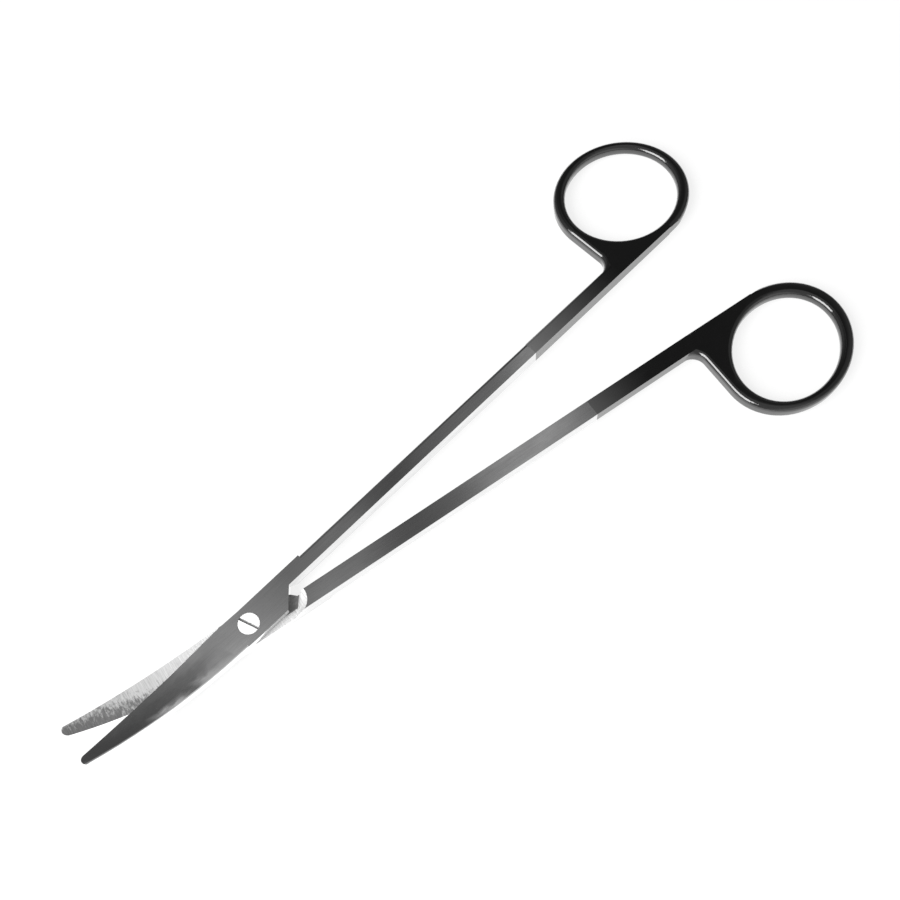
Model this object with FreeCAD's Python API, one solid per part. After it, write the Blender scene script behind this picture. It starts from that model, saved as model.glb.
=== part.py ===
import FreeCAD, Part
import math
import os

# Curved dissecting scissors: two forged halves that turn about a slotted screw.
# Lengths are millimetres and angles are degrees.
# Each half is drawn closed, with X along its shank from the pivot to the finger ring and with y
# counted outwards, away from the other half. Z is up and z = 0 is the plane where the halves meet.
# At the end each half is turned open about the pivot, and the pair is set down on the table.

V = FreeCAD.Vector

# Pose
opening_angle = 10.6

# Joint
joint_thickness = 3.6
lap_gap = 0.06
closing_gap = 0.3

# Shanks
upper_shank_width = 3.3
lower_shank_width = 3.7
shank_round = 0.9

# Finger rings, as the hole, the band round it and the web that joins it to the shank
ring_distance = 124.7
upper_hole_length = 26.0
upper_hole_width = 23.6
upper_hole_tilt = 12.0
upper_hole_shift = 0.05
upper_end_band = 2.7
upper_side_band = 2.3
upper_ring_tilt = 15.0
lower_hole_length = 26.2
lower_hole_width = 21.9
lower_hole_tilt = 27.0
lower_hole_shift = 0.4
lower_end_band = 3.1
lower_side_band = 2.8
lower_ring_tilt = 21.5
ring_end_thickness = 2.7
band_round = 1.05
ring_flat_depth = 0.35
web_fillet = 3.0

# Lap plates
ear_start = 10.9
ear_end = 7.3
ear_reach = 3.6
shoulder_inner = 11.3
shoulder_outer = 8.5
shoulder_inner_run = 1.0
shoulder_outer_run = 0.6
shoulder_scoop = 1.2

# Blades
blade_length = 39.3
blade_rise = 8.3
flat_reach = 9.0
tip_width = 2.2
tip_thickness = 1.0
edge_middle_width = 3.3
spine_middle_width = 2.75
crown_start = 3.0
crown_offset = 1.6
crown_middle_radius = 10.5
crown_tip_radius = 7.0
crown_steps = 7
spine_round = 0.4

# Pivot screw
head_diameter = 4.4
head_thickness = 0.8
head_clearance = 0.06
shoulder_diameter = 3.0
running_clearance = 0.04
thread_diameter = 2.5
thread_clearance = 0.02
head_dome = 0.06
slot_width = 0.5
slot_depth = 0.5
slot_angle = -66.0

half_thickness = joint_thickness / 2
inner_edge = closing_gap / 2
margin = 5.0
seam_tolerance = 0.000001


def arc(start, middle, end):
    return Part.Arc(start, middle, end).toShape()


def line(start, end):
    return Part.makeLine(start, end)


def prism(edges, direction):
    return Part.Face(Part.Wire(edges)).extrude(direction)


def arc_radius(run, rise):
    return (run * run + rise * rise) / (2 * rise)


def rise_at(run, radius):
    return radius - math.sqrt(radius * radius - run * run)


# The finger ring, its web and the straight shank

class Ellipse:
    """An ellipse at the ring's distance that is tilted towards the closing line at its far end."""

    def __init__(self, centre_y, long_half, short_half, tilt):
        self.centre = V(ring_distance, centre_y, 0)
        turn = math.radians(-tilt)
        self.long_axis = V(math.cos(turn), math.sin(turn), 0)
        self.short_axis = V(-math.sin(turn), math.cos(turn), 0)
        self.long_half = long_half
        self.short_half = short_half

    def edge(self, first, last, z):
        corner = self.centre + V(0, 0, z)
        major = corner + self.long_axis * self.long_half
        minor = corner + self.short_axis * self.short_half
        return Part.Ellipse(major, minor, corner).toShape(first, last)

    def point(self, angle, z):
        along = self.long_axis * (self.long_half * math.cos(angle))
        across = self.short_axis * (self.short_half * math.sin(angle))
        return self.centre + along + across + V(0, 0, z)

    def angle_towards(self, direction):
        across = self.short_half * self.short_axis.dot(direction)
        along = self.long_half * self.long_axis.dot(direction)
        return math.atan2(across, along)


class Ring:
    """One half's finger ring, as its outline and the hole through it."""

    def __init__(self, hole_length, hole_width, hole_tilt, hole_shift, end_band, side_band, tilt):
        long_half = hole_length / 2 + end_band
        short_half = hole_width / 2 + side_band
        turn = math.radians(tilt)
        reach = math.hypot(long_half * math.sin(turn), short_half * math.cos(turn))
        centre_y = inner_edge - ring_flat_depth + reach
        self.outline = Ellipse(centre_y, long_half, short_half, tilt)
        self.hole = Ellipse(centre_y + hole_shift, hole_length / 2, hole_width / 2, hole_tilt)
        self.far_end = ring_distance + long_half


def thinning(start, end):
    """The room between the top and bottom of a ring, which grows thinner towards its far end."""
    slope = (half_thickness - ring_end_thickness / 2) / (end - start)
    low_x = start - 2 * margin
    high_x = end + margin
    low_z = half_thickness + 2 * margin * slope
    high_z = ring_end_thickness / 2 - margin * slope
    y = -margin
    edges = [
        line(V(low_x, y, -low_z), V(high_x, y, -high_z)),
        line(V(high_x, y, -high_z), V(high_x, y, high_z)),
        line(V(high_x, y, high_z), V(low_x, y, low_z)),
        line(V(low_x, y, low_z), V(low_x, y, -low_z)),
    ]
    return prism(edges, V(0, ring_distance, 0))


def ring_and_web(shank_width, ring):
    bottom = -half_thickness - margin
    height = joint_thickness + 2 * margin
    outer_edge = inner_edge + shank_width
    outer = ring.outline

    left = outer.angle_towards(V(-1, 0, 0))
    low = outer.angle_towards(V(0, -1, 0))
    left_point = outer.point(left, bottom)
    low_point = outer.point(low, bottom)
    web_start = left_point.x - web_fillet
    fillet_top = V(left_point.x, outer_edge + web_fillet, bottom)
    fillet_end = V(web_start, outer_edge, bottom)
    diagonal = web_fillet * math.sqrt(0.5)
    fillet_middle = V(web_start + diagonal, outer_edge + web_fillet - diagonal, bottom)
    root = V(web_start - margin, outer_edge, bottom)
    under_root = V(root.x, -margin, bottom)
    under_ring = V(low_point.x, -margin, bottom)

    outline = [
        line(root, fillet_end),
        arc(fillet_end, fillet_middle, fillet_top),
        line(fillet_top, left_point),
        outer.edge(low, left + 2 * math.pi if left < low else left, bottom),
        line(low_point, under_ring),
        line(under_ring, under_root),
        line(under_root, root),
    ]
    blank = prism(Part.__sortEdges__(outline), V(0, 0, height))
    blank = blank.common(thinning(web_start, ring.far_end))

    def is_rounded(edge):
        box = edge.BoundBox
        upright = box.XLength < 0.01 and box.YLength < 0.01
        return not upright and box.YMax > outer_edge - 0.01 and box.XMax > web_start - 0.01

    rounded = [edge for edge in blank.Edges if is_rounded(edge)]
    blank = blank.makeFillet(band_round, rounded)

    hole_edge = ring.hole.edge(0, 2 * math.pi, bottom)
    blank = blank.cut(prism([hole_edge], V(0, 0, height)))

    def is_hole_rim(edge):
        wider = edge.BoundBox.XLength - hole_edge.BoundBox.XLength
        deeper = edge.BoundBox.YLength - hole_edge.BoundBox.YLength
        return abs(wider) < band_round / 2 and abs(deeper) < band_round / 2

    blank = blank.makeFillet(band_round, [edge for edge in blank.Edges if is_hole_rim(edge)])

    kept = Part.makeBox(
        ring.far_end + margin - web_start, ring_distance, joint_thickness,
        V(web_start, inner_edge, -half_thickness),
    )
    return blank.common(kept), web_start


def handle(shank_width, finger_ring):
    ring, web_start = ring_and_web(shank_width, finger_ring)
    shank_start = ear_end - margin
    shank = Part.makeBox(
        web_start + web_fillet - shank_start, shank_width, joint_thickness,
        V(shank_start, inner_edge, -half_thickness),
    )
    outer_edge = inner_edge + shank_width

    def is_outer_top(edge):
        box = edge.BoundBox
        return box.YMin > outer_edge - 0.01 and box.ZMin > half_thickness - 0.01

    outer_top = [edge for edge in shank.Edges if is_outer_top(edge)]
    shank = shank.makeFillet(shank_round, outer_top)
    return shank.fuse(ring).removeSplitter()


# The lap plate and the blade

def spine_arc(z):
    """The spine seen from above, from the tip's round to the joint."""
    tip_half = tip_width / 2
    tip_start = -(blade_length - tip_half)
    tip_end = V(tip_start, -tip_half, z)
    return arc(tip_end, V(tip_start / 2, -spine_middle_width, z), V(0, -ear_reach, z))


def cutting_side(shank_width, past_spine, z):
    """The shank's outer edge, the cutting edge and the tip's round, seen from above."""
    outer_edge = inner_edge + shank_width
    tip_half = tip_width / 2
    tip_start = -(blade_length - tip_half)
    back = shoulder_inner + margin
    return [
        line(V(back, outer_edge, z), V(0, outer_edge, z)),
        arc(V(0, outer_edge, z), V(tip_start / 2, edge_middle_width, z), V(tip_start, tip_half, z)),
        arc(
            V(tip_start, tip_half, z),
            V(-blade_length, 0, z),
            V(tip_start, -tip_half - past_spine, z),
        ),
    ]


def lap_plan(shank_width, z):
    """The whole outline, with the ear beside the shank."""
    edges = cutting_side(shank_width, 0, z)
    back = edges[0].Vertexes[0].Point
    inner_back = V(back.x, inner_edge, z)
    return edges + [
        spine_arc(z),
        line(V(0, -ear_reach, z), V(ear_end, -ear_reach, z)),
        line(V(ear_end, -ear_reach, z), V(ear_start, inner_edge, z)),
        line(V(ear_start, inner_edge, z), inner_back),
        line(inner_back, back),
    ]


def trimming_plan(shank_width, z):
    """The outline with all the room beyond the spine, to trim a blank whose spine is ready."""
    edges = cutting_side(shank_width, tip_width / 20, z)
    back = edges[0].Vertexes[0].Point
    tip_end = edges[-1].Vertexes[-1].Point
    low_tip = V(tip_end.x, -3 * margin, z)
    low_back = V(back.x, -3 * margin, z)
    return edges + [line(tip_end, low_tip), line(low_tip, low_back), line(low_back, back)]


def spine_plan(z):
    """The spine, carried on past the tip, with all the room on its cutting side."""
    spine = spine_arc(z)
    first, last = spine.ParameterRange
    longer = spine.Curve.toShape(first - margin / spine.Curve.Radius, last)
    near_tip = longer.Vertexes[0].Point
    joint = longer.Vertexes[-1].Point
    high_tip = V(near_tip.x, 2 * margin, z)
    high_joint = V(joint.x, 2 * margin, z)
    return [longer, line(joint, high_joint), line(high_joint, high_tip), line(high_tip, near_tip)]


def crest_height(x, up):
    """Height of the outer face's crest, which comes nearer to the inner face at the tip."""
    level = up * half_thickness
    if x > -flat_reach:
        return level
    run = blade_length - flat_reach
    rise = blade_rise + up * (tip_thickness - half_thickness)
    return level + rise_at(-flat_reach - x, arc_radius(run, rise))


def crown_section(x, curvature, up):
    """All that lies inside the outer face at x, where that face drops away beside its crest."""
    reach = 2 * margin
    drop = up * curvature * reach * reach / 2
    crest = V(x, -crown_offset, crest_height(x, up))
    near = crest + V(0, -reach, -drop)
    far = crest + V(0, reach, -drop)
    face = Part.BezierCurve()
    face.setPoles([near, crest + V(0, 0, drop), far])
    inner_z = blade_rise + 4 * margin if up < 0 else -margin
    near_in = V(x, near.y, inner_z)
    far_in = V(x, far.y, inner_z)
    return Part.Wire([face.toShape(), line(far, far_in), line(far_in, near_in), line(near_in, near)])


def crowned_blank(up):
    """Flat over the joint, then bent, with an outer face that grows rounder towards the tip."""
    bend = blade_length - crown_start
    sections = []
    for step in range(crown_steps + 2):
        reach = step / crown_steps
        middle = min(1.0, 2 * reach)
        curvature = middle * middle * (3 - 2 * middle) / crown_middle_radius
        beyond = max(0.0, 2 * reach - 1)
        curvature += beyond * (1 / crown_tip_radius - 1 / crown_middle_radius)
        sections.append(crown_section(-crown_start - bend * reach, curvature, up))
    blade = Part.makeLoft(sections, True, False)
    back = V(crown_start + shoulder_inner + 2 * margin, 0, 0)
    return Part.Face(sections[0]).extrude(back), blade


def below_meeting_face(shift):
    """All that lies under the meeting face: flat at the joint, then rising all round the pivot."""
    run = blade_length - flat_reach
    radius = arc_radius(run, blade_rise)
    long_run = run + margin
    reach = flat_reach + long_run
    floor = -4 * margin
    edges = [
        line(V(0, 0, floor), V(0, 0, shift)),
        line(V(0, 0, shift), V(flat_reach, 0, shift)),
        arc(
            V(flat_reach, 0, shift),
            V(flat_reach + long_run / 2, 0, shift + rise_at(long_run / 2, radius)),
            V(reach, 0, shift + rise_at(long_run, radius)),
        ),
        line(V(reach, 0, shift + rise_at(long_run, radius)), V(reach, 0, floor)),
        line(V(reach, 0, floor), V(0, 0, floor)),
    ]
    face = Part.Face(Part.Wire(edges))
    return face.revolve(V(0, 0, 0), V(0, 0, 1), 360)


def round_spine(blank, up):
    """Rounds the outer face's edge along the spine."""
    def is_outer_spine(edge):
        middle = edge.valueAt((edge.FirstParameter + edge.LastParameter) / 2)
        outer = abs(middle.z - crest_height(middle.x, up)) < half_thickness
        return outer and edge.BoundBox.XLength > blade_length / 2 and middle.y < 0

    rounded = blank.makeFillet(spine_round, [edge for edge in blank.Edges if is_outer_spine(edge)])
    rounded.fix(seam_tolerance, seam_tolerance, seam_tolerance)
    return rounded


def lap_plate_and_blade(shank_width, up):
    low = -2 * margin
    rise = V(0, 0, blade_rise + 4 * margin)
    plate_blank, blade_blank = crowned_blank(up)
    plate = prism(lap_plan(shank_width, low), rise).common(plate_blank)
    blade = round_spine(prism(spine_plan(low), rise).common(blade_blank), up)
    blade = blade.common(prism(trimming_plan(shank_width, low), rise))
    solid = plate.fuse(blade).removeSplitter()
    below = below_meeting_face(up * lap_gap / 2)
    return solid.cut(below) if up > 0 else solid.common(below)


def shoulder_cut(shank_width, up):
    """What the other half's ear sweeps: up to a straight foot, scooped back away from the plate."""
    foot_z = up * lap_gap / 2
    top_z = -up * (half_thickness + margin)
    growth = (half_thickness + margin) / half_thickness
    inner = V(shoulder_inner, inner_edge, 0)
    outer = V(shoulder_outer, inner_edge + shank_width, 0)
    beyond = (outer - inner) * (closing_gap / shank_width)
    high_y = outer.y + margin
    low_y = inner.y - margin

    def outline(z, inner_run, outer_run, scoop):
        near = inner - beyond + V(inner_run, 0, z)
        far = outer + beyond + V(outer_run, 0, z)
        middle = (near + far) * 0.5 + V(scoop, 0, 0)
        return Part.Wire([
            line(V(-margin, high_y, z), V(-margin, low_y, z)),
            line(V(-margin, low_y, z), V(near.x, low_y, z)),
            line(V(near.x, low_y, z), near),
            arc(near, middle, far),
            line(far, V(far.x, high_y, z)),
            line(V(far.x, high_y, z), V(-margin, high_y, z)),
        ])

    foot = outline(foot_z, 0, 0, 0.01)
    top = outline(top_z, shoulder_inner_run * growth, shoulder_outer_run * growth, shoulder_scoop * growth)
    return Part.makeLoft([foot, top], True, True)


def half(shank_width, ring, up):
    body = handle(shank_width, ring)
    if up < 0:
        body = body.mirror(V(0, 0, 0), V(0, 0, 1))
    body = body.cut(shoulder_cut(shank_width, up))
    body = body.fuse(lap_plate_and_blade(shank_width, up)).removeSplitter()
    return body


def upper_half():
    ring = Ring(
        upper_hole_length, upper_hole_width, upper_hole_tilt, upper_hole_shift,
        upper_end_band, upper_side_band, upper_ring_tilt,
    )
    body = half(upper_shank_width, ring, 1)
    head_radius = head_diameter / 2 + head_clearance
    head_seat = half_thickness - head_thickness
    body = body.cut(Part.makeCylinder(head_radius, margin, V(0, 0, head_seat)))
    bore_radius = shoulder_diameter / 2 + running_clearance
    body = body.cut(Part.makeCylinder(bore_radius, 2 * margin, V(0, 0, -margin)))
    return body


def lower_half():
    ring = Ring(
        lower_hole_length, lower_hole_width, lower_hole_tilt, lower_hole_shift,
        lower_end_band, lower_side_band, lower_ring_tilt,
    )
    body = half(lower_shank_width, ring, -1)
    body = body.mirror(V(0, 0, 0), V(0, 1, 0))
    hole_radius = thread_diameter / 2 + thread_clearance
    return body.cut(Part.makeCylinder(hole_radius, 2 * margin, V(0, 0, -margin)))


def pivot_screw():
    head_seat = half_thickness - head_thickness
    meeting = -lap_gap / 2
    head_radius = head_diameter / 2
    dome_radius = arc_radius(head_radius, head_dome)
    head = Part.makeCylinder(head_radius, head_thickness + head_dome, V(0, 0, head_seat))
    head = head.common(Part.makeSphere(dome_radius, V(0, 0, half_thickness + head_dome - dome_radius)))
    shoulder = Part.makeCylinder(shoulder_diameter / 2, head_seat - meeting, V(0, 0, meeting))
    thread = Part.makeCylinder(
        thread_diameter / 2, half_thickness + meeting, V(0, 0, -half_thickness))
    slot = Part.makeBox(
        2 * head_diameter, slot_width, margin,
        V(-head_diameter, -slot_width / 2, half_thickness + head_dome - slot_depth),
    )
    slot.rotate(V(0, 0, 0), V(0, 0, 1), slot_angle)
    return head.fuse(shoulder).fuse(thread).removeSplitter().cut(slot)


def placed(shape, angle):
    shape = shape.copy()
    shape.rotate(V(0, 0, 0), V(0, 0, 1), angle)
    shape.translate(V(0, 0, half_thickness))
    return shape


parts = {
    "upper_half": placed(upper_half(), opening_angle / 2),
    "lower_half": placed(lower_half(), -opening_angle / 2),
    "pivot_screw": placed(pivot_screw(), 0),
}

os.makedirs("parts", exist_ok=True)
for name, shape in parts.items():
    shape.exportStep("parts/" + name + ".step")
    print(name, len(shape.Solids), "solid", round(shape.Volume, 1), "mm3", shape.isValid())
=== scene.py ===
# %% [markdown]
# # Curved dissecting scissors
# These scissors are two forged steel halves and one slotted screw. They lie open by about ten
# degrees on a white table. The shapes were made as solids before this lesson starts, so the first
# step only loads them as a fixed frame. The lesson then gives them clean surfaces, finishes, a
# table, light and a camera. Every length is in metres.

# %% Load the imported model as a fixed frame
import math

import bmesh
import bpy
from mathutils import Matrix, Vector


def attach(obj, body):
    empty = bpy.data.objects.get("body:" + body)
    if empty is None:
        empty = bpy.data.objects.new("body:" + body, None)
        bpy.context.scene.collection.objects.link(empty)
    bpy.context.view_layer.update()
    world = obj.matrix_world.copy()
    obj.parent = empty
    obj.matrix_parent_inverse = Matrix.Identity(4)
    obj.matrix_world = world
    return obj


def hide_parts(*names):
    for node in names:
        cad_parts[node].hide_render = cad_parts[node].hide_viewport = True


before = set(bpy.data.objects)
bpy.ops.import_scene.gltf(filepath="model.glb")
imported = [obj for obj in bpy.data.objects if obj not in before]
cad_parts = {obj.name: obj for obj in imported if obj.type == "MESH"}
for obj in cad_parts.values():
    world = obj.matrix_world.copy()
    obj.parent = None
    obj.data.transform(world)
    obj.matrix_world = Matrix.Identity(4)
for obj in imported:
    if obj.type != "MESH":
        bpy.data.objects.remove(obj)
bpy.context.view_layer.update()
print("solids:", sorted(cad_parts))

# %% [markdown]
# ## The camera
# The photograph was taken from close by, so the finger rings look larger than they would from far
# away. A camera can be aimed with a Track To constraint, but here its three axes were worked out
# from the outline of the scissors, so they go straight into its matrix. A lens of 50 mm on a
# 36 mm sensor, 0.26 m away, gives the same foreshortening.

# %% Place the camera
camera_data = bpy.data.cameras.new("camera")
camera_data.lens = 50.0
camera_data.sensor_width = 36.0
camera_data.clip_start = 0.01
camera = bpy.data.objects.new("camera", camera_data)
bpy.context.scene.collection.objects.link(camera)
camera_right = Vector((0.76834516, -0.6376733, -0.05494072))
camera_up = Vector((0.60454788, 0.69487794, 0.38944385))
camera_back = camera_right.cross(camera_up)
camera_turn = Matrix((camera_right, camera_up, camera_back)).transposed()
camera.matrix_world = camera_turn.to_4x4()
camera.location = (-0.0006108, -0.0833902, 0.2411227)
bpy.context.scene.camera = camera
print("camera at", tuple(round(value, 4) for value in camera.location))

# %% [markdown]
# ## Clean surfaces from the solids
# A solid arrives as loose triangles, which would shade as flat facets. Each one is copied, its
# doubled corners are merged, and its edges are marked sharp wherever two faces meet at more than
# thirty degrees. A Weighted Normal modifier then lets the large flat faces stay flat while the
# small rounds shade smoothly. The solid itself is hidden and the copy stands for it.

# %% A helper that makes a smooth copy of a solid
merge_distance = 0.000002
sharp_angle = math.radians(30)


def smooth_copy(node, body, name):
    copy = bpy.data.meshes.new(name)
    mesh = bmesh.new()
    mesh.from_mesh(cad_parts[node].data)
    bmesh.ops.remove_doubles(mesh, verts=mesh.verts, dist=merge_distance)
    mesh.to_mesh(copy)
    mesh.free()
    piece = bpy.data.objects.new(name, copy)
    bpy.context.scene.collection.objects.link(piece)
    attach(piece, body)
    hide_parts(node)
    print(name, len(copy.vertices), "corners", len(copy.polygons), "faces")
    return piece


# %% [markdown]
# ## Where each finish lies
# Both halves are painted by the same rules, measured from the pivot along each half's own shank.
# The black coating covers the handle from about 82 mm outwards. The faces on which the blades
# meet, the scooped shoulder and the lap's outer strip are ground. The rest of the lap, which lies
# under the other half, is painted dark as painted shade. Whatever is left is satin steel.

# %% Measure along a half's own shank
opening = math.radians(10.6)
ground_end = -0.0045
scoop_start, scoop_end = 0.0082, 0.0135
lap_end, lap_strip = 0.011, 0.0024
lap_lowest, lap_highest = 0.0016, 0.002
steel, ground, coating, shaded_lap = 0, 1, 2, 3


def along(point, turn):
    return point.x * math.cos(turn) + point.y * math.sin(turn)


def across(point, turn):
    return -point.x * math.sin(turn) + point.y * math.cos(turn)


print("finishes are shared out", round(math.degrees(opening / 2), 1), "degrees off the middle line")

# %% [markdown]
# A face is known by where its middle lies and by which way it looks. The lap's face looks straight
# up or down, give or take 18 degrees, and a blade's meeting face may lean by up to 45. The wall of
# the scoop looks partly back towards the pivot.

# %% Tell which finish a face takes
level_enough, blade_level_enough = 0.95, 0.7
scoop_steepest, scoop_flattest = -0.9, -0.3


def is_lap(face, turn, meeting_side):
    middle = face.calc_center_median()
    level = lap_lowest < middle.z < lap_highest and face.normal.z * meeting_side > level_enough
    return level and ground_end < along(middle, turn) < lap_end


def is_scoop(face, turn):
    on_shoulder = scoop_start < along(face.calc_center_median(), turn) < scoop_end
    return on_shoulder and scoop_steepest < along(face.normal, turn) < scoop_flattest


def finish_of(face, turn, meeting_side, coating_start):
    middle = face.calc_center_median()
    if along(middle, turn) > coating_start:
        return coating
    if along(middle, turn) < ground_end and face.normal.z * meeting_side > blade_level_enough:
        return ground
    if is_scoop(face, turn):
        return ground
    if is_lap(face, turn, meeting_side):
        # The inner part of the lap takes a painted shade, not a finish of its own.
        return ground if across(middle, turn) * meeting_side < -lap_strip else shaded_lap
    return steel


# %% [markdown]
# The coating ends in a straight line across the shank, and the lap's ground strip in a straight
# line along it. The mesh is cut along both lines with a bisect, so that each border is a true edge
# and not a blur.

# %% A helper that cuts chosen faces along a plane
on_the_plane = 0.0000001


def cut_along_plane(mesh, faces, point, direction):
    edges = {edge for face in faces for edge in face.edges}
    corners = {corner for face in faces for corner in face.verts}
    geometry = list(corners) + list(edges) + faces
    bmesh.ops.bisect_plane(
        mesh, geom=geometry, plane_co=point, plane_no=direction, dist=on_the_plane)


# %% [markdown]
# Patterns have to follow each half when it turns, so every corner remembers its own place: how far
# it lies along the shank, across it and up. A second number says how much grey is painted on the
# coating there, partly for a thinner coat and partly as a painted reflection. It falls in a
# straight line from the coating's border to where the coating is fully black, and the finish cuts
# it off below nought.

# %% Helpers that shade a mesh and let it remember its grain
def shade_smooth(mesh):
    for face in mesh.faces:
        face.smooth = True
    for edge in mesh.edges:
        edge.smooth = edge.is_manifold and edge.calc_face_angle(0) < sharp_angle


def remember_grain(mesh, turn):
    grain = mesh.verts.layers.float_vector.new("grain")
    for corner in mesh.verts:
        place = corner.co
        corner[grain] = Vector((along(place, turn), across(place, turn), place.z))


def remember_fade(mesh, turn, coating_start, fade_end, greyness):
    fade = mesh.verts.layers.float.new("fade")
    for corner in mesh.verts:
        left = (fade_end - along(corner.co, turn)) / (fade_end - coating_start)
        corner[fade] = greyness * left


# %% [markdown]
# A half is first cut along its two borders. Each face then gets the number of its finish, which is
# that finish's place in the list that the piece is given further on.

# %% A helper that shares out the finishes of a half
def share_out_finishes(piece, turn, meeting_side, coating_start, fade_end, greyness):
    mesh = bmesh.new()
    mesh.from_mesh(piece.data)
    heading = Vector((math.cos(turn), math.sin(turn), 0))
    sideways = Vector((-math.sin(turn), math.cos(turn), 0))
    cut_along_plane(mesh, mesh.faces[:], heading * coating_start, heading)
    lap = [face for face in mesh.faces if is_lap(face, turn, meeting_side)]
    cut_along_plane(mesh, lap, sideways * -lap_strip * meeting_side, sideways)
    counts = [0, 0, 0, 0]
    for face in mesh.faces:
        face.material_index = finish_of(face, turn, meeting_side, coating_start)
        counts[face.material_index] += 1
    shade_smooth(mesh)
    remember_grain(mesh, turn)
    remember_fade(mesh, turn, coating_start, fade_end, greyness)
    mesh.to_mesh(piece.data)
    mesh.free()
    piece.modifiers.new("flat faces stay flat", "WEIGHTED_NORMAL").keep_sharp = True
    print(piece.name, "steel, ground, coated and dull faces:", counts)


# %% [markdown]
# ## The two halves
# The lap's meeting face looks down on the upper half and up on the lower one. The coating's border
# sits half a millimetre further out on the lower half, and the grey painted on its coating, partly
# a painted reflection, is weaker and turns black sooner.

# %% Make the two halves
upper = smooth_copy("upper_half", "upper_body", "upper_forging")
lower = smooth_copy("lower_half", "lower_body", "lower_forging")
share_out_finishes(
    upper, opening / 2, meeting_side=-1, coating_start=0.0822, fade_end=0.109, greyness=1.0)
share_out_finishes(
    lower, -opening / 2, meeting_side=1, coating_start=0.0827, fade_end=0.0975, greyness=0.65)

# %% [markdown]
# ## The screw
# The screw is painted bright but for its slot, which is painted dark as painted shade. A face lies
# in the slot when its middle is close to the slot's own middle plane and just below the top of the
# head.

# %% Make the screw
bright, painted_slot_shade = 0, 1
slot_reach = 0.00027
slot_bottom, slot_top = 0.0006, 0.0001
slot_turn = math.radians(-66.0) - opening / 2
slot_side = Vector((-math.sin(slot_turn), math.cos(slot_turn), 0))
screw = smooth_copy("pivot_screw", "lower_body", "slotted_screw")
mesh = bmesh.new()
mesh.from_mesh(screw.data)
head_top = max(corner.co.z for corner in mesh.verts)
# Faces in the slot take the dark steel, a painted shade of the recess.
for face in mesh.faces:
    middle = face.calc_center_median()
    beside_slot = abs(middle.dot(slot_side)) < slot_reach
    in_slot = beside_slot and head_top - slot_bottom < middle.z < head_top - slot_top
    face.material_index = painted_slot_shade if in_slot else bright
shade_smooth(mesh)
remember_grain(mesh, 0.0)
mesh.to_mesh(screw.data)
mesh.free()
screw.modifiers.new("flat faces stay flat", "WEIGHTED_NORMAL").keep_sharp = True
print("faces in the slot:", sum(face.material_index for face in screw.data.polygons))

# %% [markdown]
# ## Brush lines, shared by the steel finishes
# Steel that has been drawn over a belt is covered in fine parallel lines. Noise that is squeezed
# across the belt's direction and stretched along it looks just like them. The lines are needed
# in several finishes, so they are a node group: it takes a position and how fine the lines are
# along, across and up, and puts out a value between 0 and 1.

# %% A node group for brush lines
brush_lines = bpy.data.node_groups.new("brush_lines", "ShaderNodeTree")
sockets = brush_lines.interface
sockets.new_socket("Position", in_out="INPUT", socket_type="NodeSocketVector")
for number in ("Along", "Across", "Up"):
    sockets.new_socket(number, in_out="INPUT", socket_type="NodeSocketFloat")
sockets.new_socket("Lines", in_out="OUTPUT", socket_type="NodeSocketFloat")
given = brush_lines.nodes.new("NodeGroupInput")
result = brush_lines.nodes.new("NodeGroupOutput")
squeeze = brush_lines.nodes.new("ShaderNodeCombineXYZ")
stretched = brush_lines.nodes.new("ShaderNodeVectorMath")
stretched.operation = "MULTIPLY"
fine = brush_lines.nodes.new("ShaderNodeTexNoise")
fine.inputs["Scale"].default_value = 1.0
fine.inputs["Detail"].default_value = 4.0
fine.inputs["Roughness"].default_value = 0.65
for number, axis in (("Along", "X"), ("Across", "Y"), ("Up", "Z")):
    brush_lines.links.new(given.outputs[number], squeeze.inputs[axis])
brush_lines.links.new(given.outputs["Position"], stretched.inputs[0])
brush_lines.links.new(squeeze.outputs["Vector"], stretched.inputs[1])
brush_lines.links.new(stretched.outputs["Vector"], fine.inputs["Vector"])
brush_lines.links.new(fine.outputs["Fac"], result.inputs["Lines"])
print("group", brush_lines.name, "made")

# %% [markdown]
# ## Helpers for building a finish
# Every finish starts from the grain that the corners remember. The steps that follow are the same
# few again and again: ask for lines, spread a value over a new range, turn it into greys, multiply
# two greys, and raise a shallow relief.

# %% Helpers for building a finish
def new_finish(name):
    finish = bpy.data.materials.new(name)
    finish.use_nodes = True
    nodes = finish.node_tree.nodes
    links = finish.node_tree.links
    position = nodes.new("ShaderNodeAttribute")
    position.attribute_name = "grain"
    return finish, nodes, links, nodes["Principled BSDF"], position.outputs["Vector"]


def lines_in(nodes, links, position, along_scale, across_scale, up_scale):
    lines = nodes.new("ShaderNodeGroup")
    lines.node_tree = brush_lines
    lines.inputs["Along"].default_value = along_scale
    lines.inputs["Across"].default_value = across_scale
    lines.inputs["Up"].default_value = up_scale
    links.new(position, lines.inputs["Position"])
    return lines.outputs["Lines"]


def spread(nodes, links, value, low, high, low_to, high_to):
    stretch = nodes.new("ShaderNodeMapRange")
    stretch.inputs["From Min"].default_value = low
    stretch.inputs["From Max"].default_value = high
    stretch.inputs["To Min"].default_value = low_to
    stretch.inputs["To Max"].default_value = high_to
    links.new(value, stretch.inputs["Value"])
    return stretch.outputs["Result"]


def grey_from(nodes, links, value, darkest, lightest):
    ramp = nodes.new("ShaderNodeValToRGB")
    stops = ramp.color_ramp.elements
    for stop, place, grey in ((stops[0], 0.3, darkest), (stops[1], 0.7, lightest)):
        stop.position = place
        stop.color = (*grey, 1)
    links.new(value, ramp.inputs["Fac"])
    return ramp.outputs["Color"]


def multiply(nodes, links, first, second):
    product = nodes.new("ShaderNodeVectorMath")
    product.operation = "MULTIPLY"
    links.new(first, product.inputs[0])
    links.new(second, product.inputs[1])
    return product.outputs["Vector"]


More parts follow.
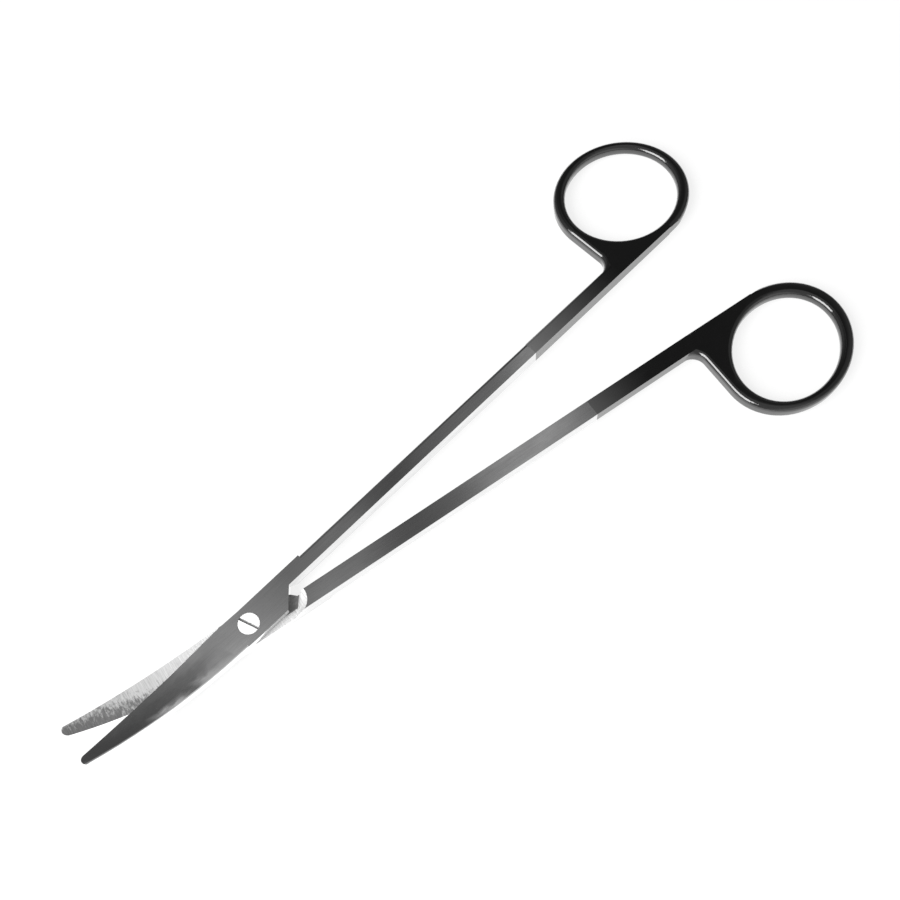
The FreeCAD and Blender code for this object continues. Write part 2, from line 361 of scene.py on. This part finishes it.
def relief(nodes, links, height, distance, strength):
    bump = nodes.new("ShaderNodeBump")
    bump.inputs["Distance"].default_value = distance
    bump.inputs["Strength"].default_value = strength
    links.new(height, bump.inputs["Height"])
    return bump.outputs["Normal"]


# %% [markdown]
# ## Satin steel
# Shanks and joint are brushed along their length. The lines show as fine streaks of lighter and
# darker grey and as a very shallow relief, which smears reflections across the shank but hardly
# along it. Much broader clouds vary the grey, because no hand holds a belt evenly. The blades are
# painted a little brighter than the shanks, as a painted reflection.

# %% Make the satin steel
satin_steel, nodes, links, shader, position = new_finish("satin_steel")
fine_lines = lines_in(nodes, links, position, 120, 9000, 9000)
clouds = lines_in(nodes, links, position, 110, 420, 420)
shader.inputs["Metallic"].default_value = 1.0
parts = nodes.new("ShaderNodeSeparateXYZ")
links.new(position, parts.inputs["Vector"])
# Painted reflection: the steel's grey is lighter on the blades and darker on the shanks.
painted_blade_sheen = spread(nodes, links, parts.outputs["X"], -0.004, 0.012, 1.0, 0.64)
streaks = grey_from(nodes, links, fine_lines, (0.84, 0.84, 0.845), (1.0, 1.0, 1.0))
cloudy = grey_from(nodes, links, clouds, (0.86, 0.86, 0.86), (1.0, 1.0, 1.0))
brushed = multiply(nodes, links, streaks, cloudy)
links.new(multiply(nodes, links, brushed, painted_blade_sheen), shader.inputs["Base Color"])
links.new(spread(nodes, links, clouds, 0.3, 0.7, 0.12, 0.08), shader.inputs["Roughness"])
links.new(relief(nodes, links, fine_lines, 0.000002, 0.6), shader.inputs["Normal"])
print("made", satin_steel.name)

# %% [markdown]
# ## The ground faces
# The faces that slide over each other are ground across the blade, with a coarser stone. That
# leaves short cross scratches on a bright, almost matt surface. Towards the cutting edge and the
# tip the stone has missed some patches, which stay grey.

# %% Make the ground face
ground_steel, nodes, links, shader, position = new_finish("ground_steel")
scratches = lines_in(nodes, links, position, 6500, 300, 300)
patches = lines_in(nodes, links, position, 2600, 900, 900)
parts = nodes.new("ShaderNodeSeparateXYZ")
links.new(position, parts.inputs["Vector"])
near_spine = spread(nodes, links, parts.outputs["Y"], -0.0012, 0.0016, 0.0, 0.5)
near_joint = spread(nodes, links, parts.outputs["X"], -0.036, -0.004, 0.0, 1.0)
worn = nodes.new("ShaderNodeMath")
worn.operation = "ADD"
links.new(near_spine, worn.inputs[0])
links.new(near_joint, worn.inputs[1])
stoned = nodes.new("ShaderNodeMath")
stoned.operation = "ADD"
links.new(worn.outputs["Value"], stoned.inputs[0])
links.new(spread(nodes, links, patches, 0.35, 0.65, -0.25, 0.35), stoned.inputs[1])
scratched = grey_from(nodes, links, scratches, (0.56, 0.56, 0.56), (0.86, 0.86, 0.86))
patchy = grey_from(nodes, links, stoned.outputs["Value"], (0.34, 0.34, 0.34), (1.0, 1.0, 1.0))
links.new(multiply(nodes, links, scratched, patchy), shader.inputs["Base Color"])
shader.inputs["Metallic"].default_value = 0.3
shader.inputs["Roughness"].default_value = 0.5
links.new(relief(nodes, links, scratches, 0.00004, 0.8), shader.inputs["Normal"])
print("made", ground_steel.name)

# %% [markdown]
# ## The black coating
# The handles carry a smooth black coating with a soft gloss. It reflects little when seen straight
# on and far more when seen along its surface, so its side walls look paler than its tops. Near
# where it ends it is painted a little greyer, partly because the coat is thinnest there and partly
# as a painted reflection of the bright room.

# %% Make the coating
fade_curve, added_grey, plain_black = 1.6, 0.11, 0.002
black_coating, nodes, links, shader, position = new_finish("black_coating")
clouds = lines_in(nodes, links, position, 500, 700, 700)
fading = nodes.new("ShaderNodeAttribute")
fading.attribute_name = "fade"
thin_coat_and_sheen = spread(nodes, links, fading.outputs["Fac"], 0.0, 1.0, 0.0, 1.0)
fade = nodes.new("ShaderNodeMath")
fade.operation = "POWER"
fade.inputs[1].default_value = fade_curve
links.new(thin_coat_and_sheen, fade.inputs[0])
# The grey added here is partly a thinner coat and partly painted reflection.
grey = nodes.new("ShaderNodeMath")
grey.operation = "MULTIPLY_ADD"
grey.inputs[1].default_value = added_grey
grey.inputs[2].default_value = plain_black
links.new(fade.outputs["Value"], grey.inputs[0])
links.new(grey.outputs["Value"], shader.inputs["Base Color"])
links.new(spread(nodes, links, clouds, 0.3, 0.7, 0.1, 0.14), shader.inputs["Roughness"])
shader.inputs["IOR"].default_value = 1.8
print("made", black_coating.name)

# %% [markdown]
# ## The screw, painted bright
# The screw's head is turned, so its marks run in rings about its middle. Distance from the pivot
# gives such rings: noise that reads only that distance is the same all the way round.

# %% Make the screw's finish
screw_painted_bright, nodes, links, shader, position = new_finish("screw_painted_bright")
flat = nodes.new("ShaderNodeVectorMath")
flat.operation = "MULTIPLY"
flat.inputs[1].default_value = (1, 1, 0)
distance = nodes.new("ShaderNodeVectorMath")
distance.operation = "LENGTH"
rings = nodes.new("ShaderNodeTexNoise")
rings.noise_dimensions = "1D"
rings.inputs["Scale"].default_value = 9000.0
links.new(position, flat.inputs[0])
links.new(flat.outputs["Vector"], distance.inputs[0])
links.new(distance.outputs["Value"], rings.inputs["W"])
# The screw's nearly white, mostly non-metal colour is a painted reflection of the bright room.
shader.inputs["Metallic"].default_value = 0.2
shader.inputs["Roughness"].default_value = 0.4
turned = grey_from(nodes, links, rings.outputs["Fac"], (0.9, 0.9, 0.9), (1.0, 1.0, 1.0))
links.new(turned, shader.inputs["Base Color"])
links.new(relief(nodes, links, rings.outputs["Fac"], 0.00001, 0.6), shader.inputs["Normal"])
print("made", screw_painted_bright.name)

# %% [markdown]
# ## Steel painted with shade
# The screw's slot and the inside of the lap are painted darker, as painted shade, and reflect
# softly.

# %% Make the steel painted with shade
painted_shade_steel, nodes, links, shader, position = new_finish("painted_shade_steel")
shade_noise = lines_in(nodes, links, position, 900, 2400, 2400)
shader.inputs["Metallic"].default_value = 1.0
shader.inputs["Roughness"].default_value = 0.35
# This darker grey is painted shade.
painted_shade_grey = grey_from(nodes, links, shade_noise, (0.26, 0.26, 0.26), (0.42, 0.42, 0.42))
links.new(painted_shade_grey, shader.inputs["Base Color"])
print("made", painted_shade_steel.name)

# %% [markdown]
# ## Finishes on the pieces
# A face's number says which finish in its piece's list it takes, so the order of the lists counts.

# %% Put the finishes on the pieces
for piece in (upper, lower):
    for finish in (satin_steel, ground_steel, black_coating, painted_shade_steel):
        piece.data.materials.append(finish)
for finish in (screw_painted_bright, painted_shade_steel):
    screw.data.materials.append(finish)
print("finishes on", upper.name, lower.name, screw.name)

# %% [markdown]
# ## The table
# The scissors lie on a plain white table. Seen by the camera or in a reflection it is lit evenly
# from within, and for the rest it is a plain diffuse white. A mix of the two keeps a soft shadow
# under the steel.

# %% Lay the table
table_mesh = bmesh.new()
bmesh.ops.create_grid(table_mesh, x_segments=1, y_segments=1, size=3.0)
table_data = bpy.data.meshes.new("table")
table_mesh.to_mesh(table_data)
table_mesh.free()
table = bpy.data.objects.new("table", table_data)
bpy.context.scene.collection.objects.link(table)
print("table laid")

# %% [markdown]
# Light Path tells what kind of ray is asking. Camera rays and reflections get three quarters glow
# and one quarter plain white, and every other ray gets the plain white alone. The glow is stronger
# in reflections, so that the bare side walls look nearly white, as they do over a bright table.

# %% Make the table's white
seen_glow, more_in_reflections, glow_share = 1.07, 0.6, 0.75
white_table = bpy.data.materials.new("white_table")
white_table.use_nodes = True
nodes, links = white_table.node_tree.nodes, white_table.node_tree.links
shader = nodes["Principled BSDF"]
shader.inputs["Base Color"].default_value = (0.9, 0.9, 0.9, 1)
shader.inputs["Roughness"].default_value = 0.9
glow = nodes.new("ShaderNodeEmission")
strength = nodes.new("ShaderNodeMath")
strength.operation = "MULTIPLY_ADD"
strength.inputs[1].default_value = more_in_reflections
strength.inputs[2].default_value = seen_glow
seen = nodes.new("ShaderNodeLightPath")
either = nodes.new("ShaderNodeMath")
either.operation = "MAXIMUM"
share = nodes.new("ShaderNodeMath")
share.operation = "MULTIPLY"
share.inputs[1].default_value = glow_share
both = nodes.new("ShaderNodeMixShader")
links.new(seen.outputs["Is Camera Ray"], either.inputs[0])
links.new(seen.outputs["Is Glossy Ray"], either.inputs[1])
links.new(either.outputs["Value"], share.inputs[0])
links.new(share.outputs["Value"], both.inputs["Fac"])
links.new(seen.outputs["Is Glossy Ray"], strength.inputs[0])
links.new(strength.outputs["Value"], glow.inputs["Strength"])
links.new(shader.outputs["BSDF"], both.inputs[1])
links.new(glow.outputs["Emission"], both.inputs[2])
links.new(both.outputs["Shader"], nodes["Material Output"].inputs["Surface"])
table_data.materials.append(white_table)
print("made", white_table.name)

# %% [markdown]
# ## The room
# Polished steel shows what stands round it, so the room matters more than the lamps. This one is
# dim, and darker and lighter bands hang overhead. The world's colour is worked out from the
# direction in which a ray leaves, split into how far it leans to the side and how far it leans
# away.

# %% Start the room
world = bpy.data.worlds.new("studio")
bpy.context.scene.world = world
world.use_nodes = True
nodes, links = world.node_tree.nodes, world.node_tree.links
background = nodes["Background"]
direction = nodes.new("ShaderNodeTexCoord")
split = nodes.new("ShaderNodeSeparateXYZ")
links.new(direction.outputs["Generated"], split.inputs["Vector"])
sideways, away = split.outputs["X"], split.outputs["Y"]
bpy.context.scene.view_settings.view_transform = "Standard"
print("room", world.name, "started")

# %% [markdown]
# A colour ramp reads values between 0 and 1, so a Map Range node brings the lean into that range
# first. Math nodes do the sums, and a blend leads from one grey to the next as rays lean further
# away.

# %% Helpers for the room
def ramp_over(value, stops):
    low, high = stops[0][0], stops[-1][0]
    between = nodes.new("ShaderNodeMapRange")
    between.inputs["From Min"].default_value = low
    between.inputs["From Max"].default_value = high
    ramp = nodes.new("ShaderNodeValToRGB")
    marks = ramp.color_ramp.elements
    for at, _ in stops[1:-1]:
        marks.new((at - low) / (high - low))
    for mark, (_, grey) in zip(marks, stops):
        mark.color = (grey, grey, grey, 1)
    links.new(value, between.inputs["Value"])
    links.new(between.outputs["Result"], ramp.inputs["Fac"])
    return ramp.outputs["Color"]


def reckon(operation, *values):
    step = nodes.new("ShaderNodeMath")
    step.operation = operation
    for socket, value in zip(step.inputs, values):
        if isinstance(value, float):
            socket.default_value = value
        else:
            links.new(value, socket)
    return step.outputs["Value"]


def blend(first, second, start, end):
    share = ramp_over(away, [(start, 0.0), (end, 1.0)])
    rest = reckon("MULTIPLY", first, reckon("SUBTRACT", 1.0, share))
    return reckon("ADD", rest, reckon("MULTIPLY", second, share))


# %% [markdown]
# Four ramps run from side to side. Each is a list of pairs: how far a ray leans to the side, and
# how light the room is there.

# %% Hang the bands
nearest = ramp_over(sideways, [
    (-1.0, 0.5), (-0.3, 0.45), (0.0, 0.46), (0.23, 0.5), (0.39, 0.23), (0.56, 0.22), (0.75, 0.3),
    (1.0, 0.15)])
near = ramp_over(sideways, [
    (-1.0, 0.4), (-0.3, 0.4), (0.08, 0.42), (0.105, 0.26), (0.13, 0.1), (0.15, 0.12),
    (0.195, 0.18), (0.22, 0.42), (0.26, 0.6), (0.28, 0.5), (0.3, 0.36), (0.33, 0.1), (0.36, 0.07),
    (0.47, 0.07), (0.58, 0.15), (1.0, 0.15)])
far = ramp_over(sideways, [
    (-1.0, 0.35), (-0.02, 0.26), (0.066, 0.21), (0.105, 0.3), (0.13, 0.15), (0.15, 0.09),
    (0.17, 0.09), (0.195, 0.17), (0.24, 0.2), (0.28, 0.16), (0.3, 0.5), (0.33, 0.3), (0.37, 0.08),
    (0.56, 0.08), (0.64, 0.2), (0.7, 0.3), (1.0, 0.2)])
farthest = ramp_over(sideways, [
    (-1.0, 0.4), (-0.3, 0.35), (0.05, 0.15), (0.23, 0.1), (0.39, 0.07), (0.56, 0.06), (0.7, 0.2),
    (1.0, 0.12)])
print("bands hung")

# %% [markdown]
# How far a ray leans away picks the ramp, with a soft change between neighbours. Behind the camera
# stands a white wall. Where the camera itself looks past the table, it sees plain white.

# %% Light the room
white_wall = 0.9
bands = blend(white_wall, nearest, -0.85, -0.55)
bands = blend(bands, near, 0.13, 0.19)
bands = blend(bands, far, 0.3, 0.33)
bands = blend(bands, farthest, 0.37, 0.5)
seen = nodes.new("ShaderNodeLightPath")
links.new(reckon("MAXIMUM", bands, seen.outputs["Is Camera Ray"]), background.inputs["Color"])
print("room lit")

# %% [markdown]
# ## The softbox
# One softbox stands to the side, a little over 40 degrees up. It draws the thin bright line along
# the rounds of the rings and lights the ground faces, which are rough enough to catch it.

# %% Hang the softbox
softbox_data = bpy.data.lights.new("softbox", "AREA")
softbox_data.size = 0.55
softbox_data.energy = 8.0
softbox = bpy.data.objects.new("softbox", softbox_data)
bpy.context.scene.collection.objects.link(softbox)
softbox.location = (-0.5, 0.05, 0.5)
aim = Vector((0.04, 0, 0)) - softbox.location
softbox.rotation_euler = aim.to_track_quat("-Z", "Y").to_euler()
print("softbox hung")

# %% [markdown]
# ## The end
# The dressed scissors must be as large as the solids.

# %% The end
print("scene dressed")
